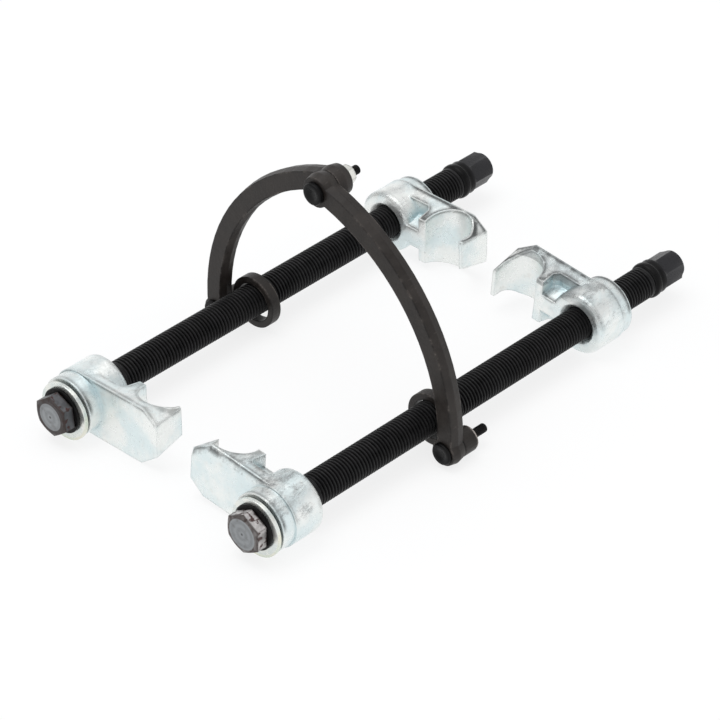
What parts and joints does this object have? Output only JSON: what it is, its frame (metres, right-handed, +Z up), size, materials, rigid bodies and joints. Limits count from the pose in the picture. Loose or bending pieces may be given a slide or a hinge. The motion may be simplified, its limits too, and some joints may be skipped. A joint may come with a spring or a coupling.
{
  "type": "coil spring compressor",
  "caption": "Coil spring compressor: paired screw spindles with fixed and travelling hooked claws, linked by a hinged arched bow.",
  "frame": {"origin": "centre of the bounding box on the surface that the tool lies on", "axes": "+X along both spindles towards their small hexagons, +Y from the near half to the far half, +Z up through the bow's apex"},
  "size_m": [0.3892, 0.2258, 0.1606],
  "materials": {
    "near_spindle": "black oiled steel",
    "near_end_hexagon": "machined steel with darkened flats",
    "near_thrust_washer": "yellow passivated zinc",
    "near_race_ring": "black steel",
    "near_fixed_claw": "zinc plated cast or forged steel",
    "near_moving_claw": "zinc plated cast or forged steel",
    "near_arm": "dark oxide, satin",
    "near_slip_ring": "dark oxide, satin",
    "near_pivot_bolt": "black steel",
    "near_pivot_washer": "zinc plated",
    "far_spindle": "black oiled steel",
    "far_end_hexagon": "machined steel with darkened flats",
    "far_thrust_washer": "yellow passivated zinc",
    "far_race_ring": "black steel",
    "far_fixed_claw": "zinc plated cast or forged steel",
    "far_moving_claw": "zinc plated cast or forged steel",
    "far_arm": "dark oxide, satin",
    "far_slip_ring": "dark oxide, satin",
    "far_pivot_bolt": "black steel",
    "far_pivot_washer": "zinc plated",
    "apex_bolt": "black steel",
    "apex_nut": "zinc plated"
  },
  "bodies": {
    "near_frame": {"near_fixed_claw": "near_fixed_claw", "near_thrust_washer": "near_thrust_washer", "near_race_ring": "near_race_ring"},
    "near_screw": {"near_spindle": "near_spindle", "near_end_hexagon": "near_end_hexagon"},
    "near_jaw": {"near_moving_claw": "near_moving_claw"},
    "near_slider": {"near_slip_ring": "near_slip_ring", "near_pivot_bolt": "near_pivot_bolt", "near_pivot_washer": "near_pivot_washer"},
    "near_bow": {"near_arm": "near_arm", "apex_bolt": "apex_bolt", "apex_nut": "apex_nut"},
    "far_bow": {"far_arm": "far_arm"},
    "far_slider": {"far_slip_ring": "far_slip_ring", "far_pivot_bolt": "far_pivot_bolt", "far_pivot_washer": "far_pivot_washer"},
    "far_frame": {"far_fixed_claw": "far_fixed_claw", "far_thrust_washer": "far_thrust_washer", "far_race_ring": "far_race_ring"},
    "far_screw": {"far_spindle": "far_spindle", "far_end_hexagon": "far_end_hexagon"},
    "far_jaw": {"far_moving_claw": "far_moving_claw"}
  },
  "joints": [
    {"name": "near_screw_turn", "type": "hinge", "parent": "near_frame", "child": "near_screw", "pos_m": [0, -0.0815, 0.0208], "axis": [1, 0, 0], "range_deg": [-13320, 4824]},
    {"name": "near_jaw_travel", "type": "slide", "parent": "near_frame", "child": "near_jaw", "axis": [1, 0, 0], "range_m": [-0.092, 0.033]},
    {"name": "near_ring_slide", "type": "slide", "parent": "near_frame", "child": "near_slider", "axis": [1, 0, 0], "range_m": [-0.094, 0.094]},
    {"name": "near_foot_pivot", "type": "hinge", "parent": "near_slider", "child": "near_bow", "pos_m": [-0.04, -0.1033, 0.0105], "axis": [1, 0, 0], "range_deg": [-15, 60]},
    {"name": "apex_pivot", "type": "hinge", "parent": "near_bow", "child": "far_bow", "pos_m": [-0.035, 0.0025, 0.1496], "axis": [1, 0, 0], "range_deg": [-8, 40]},
    {"name": "far_foot_pivot", "type": "hinge", "parent": "far_bow", "child": "far_slider", "pos_m": [-0.029, 0.1033, 0.0105], "axis": [1, 0, 0], "range_deg": [-15, 60]},
    {"name": "far_ring_slide", "type": "slide", "parent": "far_slider", "child": "far_frame", "axis": [-1, 0, 0], "range_m": [-0.104, 0.094]},
    {"name": "far_screw_turn", "type": "hinge", "parent": "far_frame", "child": "far_screw", "pos_m": [0, 0.0835, 0.0208], "axis": [1, 0, 0], "range_deg": [-13320, 4824]},
    {"name": "far_jaw_travel", "type": "slide", "parent": "far_frame", "child": "far_jaw", "axis": [1, 0, 0], "range_m": [-0.092, 0.033]}
  ],
  "couplings": [
    {"joint": "near_screw_turn", "follows": "near_jaw_travel", "rad_per_m": 2513.3},
    {"joint": "far_screw_turn", "follows": "far_jaw_travel", "rad_per_m": 2513.3}
  ]
}
